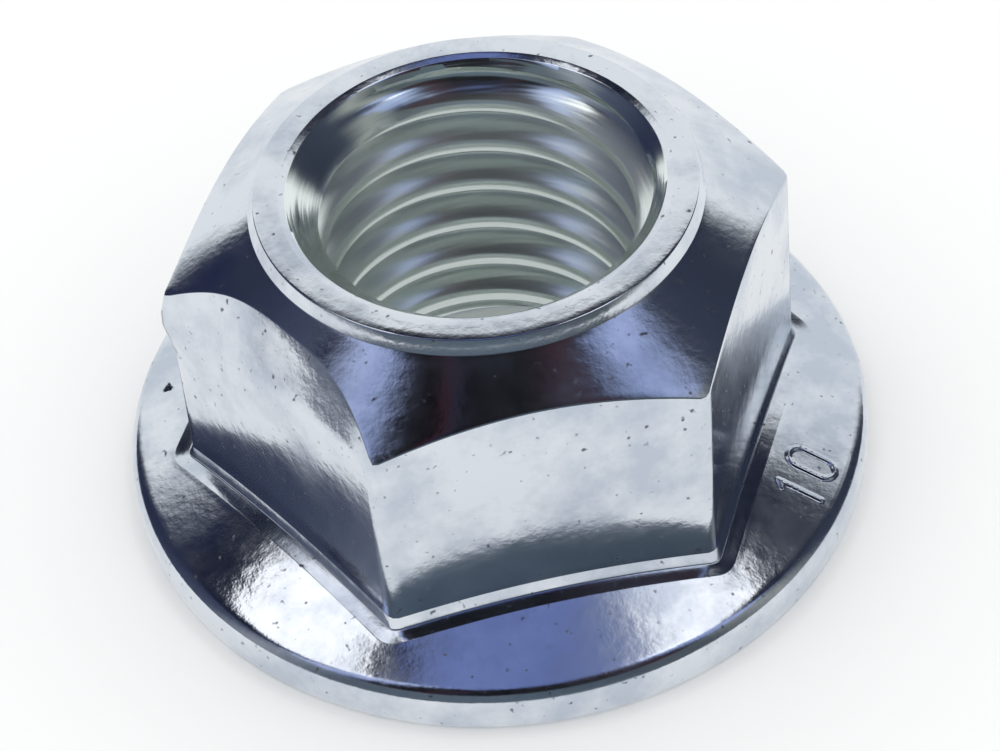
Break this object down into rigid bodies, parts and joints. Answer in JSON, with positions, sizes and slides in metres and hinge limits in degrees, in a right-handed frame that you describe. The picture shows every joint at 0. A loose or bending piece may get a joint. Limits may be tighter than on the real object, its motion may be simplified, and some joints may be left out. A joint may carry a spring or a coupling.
{
  "type": "serrated hexagon flange nut",
  "caption": "Steel hexagon nut with an integral sloping flange, a raised ring on top, a tapped hole and locking serrations on the bearing face.",
  "frame": {"origin": "on the hole's axis in the plane of the serrated bearing face", "axes": "+Z along the hole from the bearing face to the top ring; +X through a corner of the hexagon"},
  "size_m": [0.0216, 0.0216, 0.01],
  "materials": {
    "zinc_plated_steel": "bright zinc plated, blue-white passivated"
  },
  "bodies": {
    "root": {"flange_nut": "zinc_plated_steel"}
  },
  "joints": []
}
